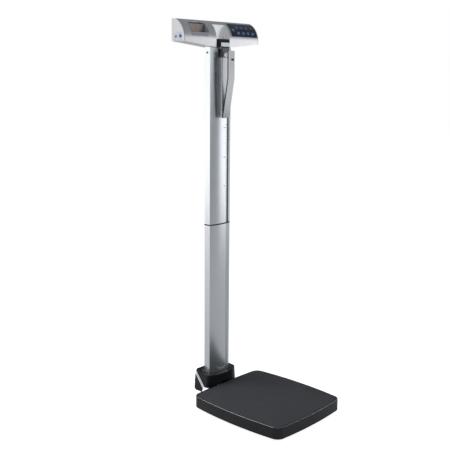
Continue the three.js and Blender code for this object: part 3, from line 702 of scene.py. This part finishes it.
def add_mark(bm, front, left, right, z):
    """One tick, which follows the bow of the face it is printed on."""
    deep, half = 0.3 * MM, MARK_THICK / 2
    section = [(-MARK_PROUD, -half), (deep, -half), (deep, half), (-MARK_PROUD, half)]
    loft(bm, [[Vector((x, front(x) + y, z + rise)) for y, rise in section] for x in (left, right)])


def add_number(bm, front, text, right, z):
    """A number that ends at `right`, laid on the face."""
    mesh = number_mesh(text, NUMBER_SIZE)
    mesh.transform(Matrix.Rotation(math.radians(90), 4, "X"))
    mesh.transform(Matrix.Translation((right, 0, z)))
    for vertex in mesh.vertices:
        vertex.co.y = front(vertex.co.x) - MARK_PROUD
    bm.from_mesh(mesh)
    bpy.data.meshes.remove(mesh)


def build_marks(name, body, front, right, low, high):
    """Centimetre marks on a face that looks forward, longer at fives, with a number at each ten.

    `front` gives the face's Y at an X. The heights are measured from the top of the mat.
    """
    zero = MAT_HIGH.z
    bm = bmesh.new()
    for mark in range(math.ceil((low - zero) * 100), math.floor((high - zero) * 100) + 1):
        z = zero + mark / 100
        length = LONG_MARK if mark % 5 == 0 else SHORT_MARK
        add_mark(bm, front, right - length, right, z)
        if mark % 10 == 0:
            add_number(bm, front, str(mark), right - LONG_MARK - NUMBER_GAP, z)
    finish_mesh(name, bm, "print", body)


def build_height_marks():
    build_marks("column_marks", "base", front_of_column, 26.3 * MM, COLUMN_MARKS_LOW, COLUMN_MARKS_HIGH)
    for rod, body, right in (("outer_rod", "outer_stage", 9 * MM), ("inner_rod", "inner_stage", 8 * MM)):
        low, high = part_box(rod)
        bottom, top = low.z + UNMARKED_END, high.z - UNMARKED_END
        build_marks(f"{rod}_marks", body, lambda x, face=low.y: face, right, bottom, top)


# ---------------------------------------------------------------- boot

BOOT_TOP = [(0.120, 0.087), (0.188, 0.0915), (0.214, 0.102)]  # y and z along the top of the front cover


def boot_top(y):
    """Height of the boot's top, or of its first or last slope carried on, at a place along Y."""
    for (y0, z0), (y1, z1) in zip(BOOT_TOP, BOOT_TOP[1:]):
        if y <= y1:
            break
    return z0 + (z1 - z0) * (y - y0) / (y1 - y0)


def build_boot_collar():
    """A low collar where the column leaves the boot, with a bright bead round it that paints the highlight
    on its rim.
    """
    # How far out from the column and how far above the boot its section runs, in mm.
    section = [(5, -0.5), (5, 1), (4.4, 1.5), (1, 1.5), (0.5, 1), (0.5, -0.5), (5, -0.5)]
    rings = []
    for outward, rise in section:
        plan = column_plan(-outward * MM, 0)
        rings.append([Vector((x, y, boot_top(y) + rise * MM)) for x, y in plan])
    bm = bmesh.new()
    loft(bm, rings, ends=False)
    bmesh.ops.remove_doubles(bm, verts=bm.verts, dist=JOIN_DISTANCE)
    finish_mesh("boot_collar", bm, "black", "base")
    # The bead is a painted highlight round the collar's rim.
    outward, rise, radius = 4.6 * MM, 1.2 * MM, 0.35 * MM
    build_bead("boot_collar_highlight_bead", lambda step: column_plan(step - outward, 0),
               lambda y: boot_top(y) + rise, radius)


def build_boot_clips():
    """Small bright chrome domes on the boot's top, set where glints show: painted glints."""
    size = Matrix.Diagonal((4.5 * MM, 2.6 * MM, 1.2 * MM, 1))
    bm = bmesh.new()
    for x, y in [(-57 * MM, 193 * MM), (57 * MM, 193 * MM), (10 * MM, 145 * MM)]:
        shape = Matrix.Translation((x, y, boot_top(y))) @ size
        bmesh.ops.create_uvsphere(bm, u_segments=24, v_segments=12, radius=1, matrix=shape)
    finish_mesh("boot_glint_domes", bm, "chrome", "base")


def build_boot():
    refine("boot_front_cover", "black", 1.4)
    refine("boot_rear_cover", "black", 1.4)
    refine("boot_trim", "trim", 0.4)
    build_boot_collar()
    build_boot_clips()


# ---------------------------------------------------------------- head, display and keypad

HEAD_AXIS_Y, HEAD_AXIS_Z = 224.4 * MM, 1244 * MM  # the line that the front curves round
HEAD_RADIUS = 65 * MM
KEY_FACE = HEAD_RADIUS + 2 * MM
# Key centres: x in mm, and the angle up the curved front in degrees.
KEY_PLACES = [(56, 31.5)] + [(x, angle) for angle in (40, 21.5) for x in (79, 103, 127, 151)]
RED_KEY = 5
# Signs on the keys, as strokes: middle x and y, width and height in mm, and turn in degrees.
SIGNS = [
    [(-1.6, 1.6, 5, 1, 45), (1.6, 1.6, 5, 1, -45), (-1.6, -1.6, 5, 1, -45), (1.6, -1.6, 5, 1, 45)],
    [(0, 0, 6, 1.1, 0), (0, 0, 1.1, 6, 0)],
    [(0, 0, 6, 1.2, 0)],
    [(-1.4, 0, 4.6, 1.1, 40), (1.4, 0, 4.6, 1.1, -40)],
    [(0, 0, 6, 1.1, 45), (0, 0, 6, 1.1, -45)],
    [(0, 2, 6.5, 1, 0), (0, 0, 6.5, 1, 0), (0, -2, 6.5, 1, 0)],
    [(0, 2.4, 5.5, 1, 0), (-2.4, 0, 1, 5.5, 0), (2.4, 0, 1, 5.5, 0), (0, -2.4, 5.5, 1, 0)],
    [(0, 2.3, 6, 1.1, 0), (0, -0.4, 1.1, 5.4, 0)],
    [(-2, -0.8, 3.4, 1.1, -45), (1.3, 0.5, 6, 1.1, 45)],
]


def curved_sheet(bm, left, right, low, high, inner, outer):
    """A sheet on the curved front of the head, between two angles in degrees and two radii."""
    steps = 10
    arcs = []
    for radius, first, last in [(inner, low, high), (outer, high, low)]:
        for step in range(steps + 1):
            angle = math.radians(first + (last - first) * step / steps)
            arcs.append((HEAD_AXIS_Y - radius * math.cos(angle), HEAD_AXIS_Z + radius * math.sin(angle)))
    loft(bm, [[Vector((x, y, z)) for y, z in arcs] for x in (left, right)])


def build_key_signs():
    """A sign on each key, as thin strokes square to the curved front."""
    thick = 0.1 * MM
    for number, ((x, angle), strokes) in enumerate(zip(KEY_PLACES, SIGNS), start=1):
        bm = bmesh.new()
        place = Matrix.Translation((x * MM, HEAD_AXIS_Y, HEAD_AXIS_Z))
        place @= Matrix.Rotation(math.radians(-angle), 4, "X") @ Matrix.Translation((0, -KEY_FACE, 0))
        for across, up, width, height, turn in strokes:
            stroke = Matrix.Translation((across * MM, 0, up * MM))
            stroke @= Matrix.Rotation(math.radians(-turn), 4, "Y")
            stroke @= Matrix.Diagonal((width * MM, thick, height * MM, 1))
            bmesh.ops.create_cube(bm, size=1, matrix=place @ stroke)
        finish_mesh(f"key_{number}_sign", bm, "ink", f"key_{number}_body")


def build_keypad():
    refine("keypad_overlay", "navy", 0.25)
    for number in range(1, len(KEY_PLACES) + 1):
        refine(f"key_{number}", "red_key" if number == RED_KEY else "key", 0.4)
    build_key_signs()


# Segments of a nought in a unit box: middle x and y, width and height of each.
NOUGHT = [(0.5, 0.96, 0.7, 0.08), (0.5, 0.04, 0.7, 0.08)]
NOUGHT += [(x, z, 0.12, 0.38) for z in (0.73, 0.27) for x in (0.1, 0.9)]


def build_digits():
    """The reading 0.0 on the display, in dark segments."""
    front, proud = LCD_LOW.y, 0.05 * MM
    width, height, dot = 8.5 * MM, 14 * MM, 0.8 * MM
    first, second, point = (LCD_HIGH.x - back * MM for back in (27, 13, 16))
    base = (LCD_LOW.z + LCD_HIGH.z) / 2 - height / 2
    bm = bmesh.new()
    for left in (first, second):
        for x, z, wide, tall in NOUGHT:
            middle = Vector((left + x * width, front, base + z * height))
            half = Vector((wide * width / 2, proud, tall * height / 2))
            bar(bm, middle - half, middle + half)
    middle, half = Vector((point, front, base + dot)), Vector((dot, proud, dot))
    bar(bm, middle - half, middle + half)
    finish_mesh("display_digits", bm, "segment", "base")


def build_display_lining():
    """A pale lining on both side walls of the opening, from the curved front back to the glass: painted
    light on walls that are in shade.
    """
    low, high, back = WINDOW_LOW.z + 0.3 * MM, WINDOW_HIGH.z - 3 * MM, WINDOW_LOW.y - 0.3 * MM
    steps, set_back, sunk, proud = 8, 0.8 * MM, 0.2 * MM, 0.5 * MM
    outline = [(back, high), (back, low)]
    for step in range(steps + 1):
        z = low + (high - low) * step / steps
        front = HEAD_AXIS_Y - math.sqrt(HEAD_RADIUS ** 2 - (z - HEAD_AXIS_Z) ** 2)
        outline.append((front + set_back, z))
    bm = bmesh.new()
    for edge, inward in ((WINDOW_LOW.x, 1), (WINDOW_HIGH.x, -1)):
        walls = (edge - inward * sunk, edge + inward * proud)
        loft(bm, [[Vector((x, y, z)) for y, z in outline] for x in walls])
    finish_mesh("display_lining", bm, "lining", "base")


def build_display_mask():
    """A pale surround on the four sides of the display, its grey made paler as painted light for the shade
    behind the smoked glass.
    """
    near, far = LCD_LOW.y + 0.1 * MM, LCD_LOW.y + 1 * MM
    left, right, gap = WINDOW_LOW.x + 1 * MM, WINDOW_HIGH.x - 1 * MM, 0.2 * MM
    low, high = WINDOW_LOW.z + 0.5 * MM, WINDOW_HIGH.z
    bm = bmesh.new()
    bar(bm, (left, near, low), (LCD_LOW.x - gap, far, high))
    bar(bm, (LCD_HIGH.x + gap, near, low), (right, far, high))
    bar(bm, (LCD_LOW.x - gap, near, LCD_HIGH.z + gap), (LCD_HIGH.x + gap, far, high))
    bar(bm, (LCD_LOW.x - gap, near, low), (LCD_HIGH.x + gap, far, LCD_LOW.z - gap))
    finish_mesh("display_mask", bm, "mask", "base")


def build_display_label():
    """A blank label on the curved front, under the display."""
    left, right, lowest, highest = -145 * MM, -69 * MM, 7.2, 15
    inner, outer = HEAD_RADIUS - 0.05 * MM, HEAD_RADIUS + 0.12 * MM
    bm = bmesh.new()
    curved_sheet(bm, left, right, lowest, highest, inner, outer)
    finish_mesh("display_label", bm, "label", "base")


def build_display():
    refine("display_window", "glass", 0.3)
    refine("lcd_module", "lcd", 0.3)
    build_digits()
    build_display_lining()
    build_display_mask()
    build_display_label()


def build_recess_fillets():
    """Rounded inside corners of the recess that the height rod stands in, in brighter metal than the shell,
    so that the bright line down each corner is partly a painted highlight.
    """
    half, back, radius, sunk = 31.5 * MM, 184 * MM, 3 * MM, 0.2 * MM
    low, high = SHELL_LOW.z + 4 * MM, 1293 * MM
    for name, sign in (("left", -1), ("right", 1)):
        corner = Vector((sign * half, back))
        centre = corner - Vector((sign, 1)) * radius
        plan = [corner + Vector((sign, 1)) * sunk, corner + Vector((sign * sunk, -radius))]
        for step in range(QUARTER_STEPS + 1):
            angle = math.radians(90 * step / QUARTER_STEPS)
            plan.append(centre + radius * Vector((sign * math.cos(angle), math.sin(angle))))
        plan.append(corner + Vector((-sign * radius, sunk)))
        bm = bmesh.new()
        loft(bm, [[Vector((x, y, z)) for x, y in plan] for z in (low, high)])
        finish_mesh(f"recess_fillet_{name}", bm, "trim", "base")


def build_door_grip():
    """Ribs for a thumb on the battery door."""
    low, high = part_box("battery_door")
    ribs, first, pitch, proud = 6, high.z - 8 * MM, 2.4 * MM, 0.1 * MM
    half = Vector((12 * MM, 0.4 * MM, 0.6 * MM))
    bm = bmesh.new()
    for rib in range(ribs):
        middle = Vector(((low.x + high.x) / 2, high.y + proud, first - rib * pitch))
        bar(bm, middle - half, middle + half)
    finish_mesh("battery_door_grip", bm, "silver", "battery_door_body", 0.3 * MM, 2)


def build_head():
    for name in ("head_shell", "head_back_cover", "battery_door"):
        refine(name, "silver", 0.6)
    for side in ("left", "right"):
        refine(f"end_cap_{side}", "cap", 0.6)
    refine("port_panel", "panel", 0.3)
    refine("power_jack", "socket", 0.3)
    refine("data_port", "socket", 0.3)
    build_recess_fillets()
    build_display()
    build_keypad()
    build_door_grip()


# ---------------------------------------------------------------- headpiece

def build_headpiece_edges():
    """Dark strips that reach back from both long sides of the plate, which leans in below its bend: painted
    shade for the dark gap beside the plate.
    """
    low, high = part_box("headpiece")
    bend_z, tip_y = 1118 * MM, 144.5 * MM
    set_back, depth, sunk, proud = 0.3 * MM, 4.5 * MM, 0.8 * MM, 0.3 * MM
    sides = (high.x - sunk, high.x + proud)
    spine = [(low.y, high.z), (low.y, bend_z), (tip_y, low.z)]
    near = [(y + set_back, z) for y, z in spine]
    far = [(y + depth, z) for y, z in reversed(spine)]
    bm = bmesh.new()
    for sign in (-1, 1):
        loft(bm, [[Vector((sign * x, y, z)) for y, z in near + far] for x in sides])
    # Blackened steel, so that the strips paint the shade in the gap.
    finish_mesh("headpiece_shade_strips", bm, "screw", "headpiece_arm", 0.2 * MM, 2)


def build_headpiece():
    refine("headpiece_knuckle", "dark_chrome", 0.8)
    refine("headpiece_pin", "chrome", 0.4)
    refine("headpiece_strip", "strip", 0.5)
    refine("headpiece", "paddle", 0.5)
    refine("headpiece_catch", "black", 0.4)
    build_headpiece_edges()


# ---------------------------------------------------------------- wheels

def build_wheels():
    """Rubber wheels, each with a hub cap on both sides."""
    radius, thick, proud = 10 * MM, 0.8 * MM, 0.1 * MM
    for side in ("left", "right"):
        refine(f"wheel_{side}", "rubber", 2.0)
        low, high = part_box(f"wheel_{side}")
        middle = (low + high) / 2
        bm = bmesh.new()
        for x, outward in ((low.x, -1), (high.x, 1)):
            shape = Matrix.Translation((x + outward * proud, middle.y, middle.z))
            shape @= Matrix.Rotation(math.radians(90), 4, "Y")
            bmesh.ops.create_cone(bm, cap_ends=True, segments=48, radius1=radius, radius2=radius,
                                  depth=thick, matrix=shape)
        finish_mesh(f"wheel_{side}_hub", bm, "black", f"wheel_{side}_body", 0.25 * MM, 2)


# ---------------------------------------------------------------- assembly

make_camera()
make_studio()

build_platform_cover()
build_platform_edge()
build_platform_mat()
build_columns()
build_height_marks()

build_boot()
build_head()
build_headpiece()
build_wheels()

refine("rod_cap", "black", 0.8)
refine("rod_cap_plate", "steel", 0.3)
for name in ("outer_rod", "inner_rod", "pillar_insert"):
    refine(name, "aluminium", 0.5)
refine("rod_guide", "black", 0.5)
for name in ("base_frame", "pillar_bracket", "wheel_axle", "column_splice", "head_bracket"):
    refine(name, "steel", 0.5)
for side in ("left", "right"):
    for end in ("front", "back"):
        refine(f"foot_{end}_{side}", "rubber", 1.0)
        refine(f"load_cell_{end}_{side}", "aluminium", 0.5)
for name in ("junction_board", "main_board"):
    refine(name, "board", 0.2)
refine("battery_box", "black", 0.4)
refine("signal_cable", "cable", 0.0)
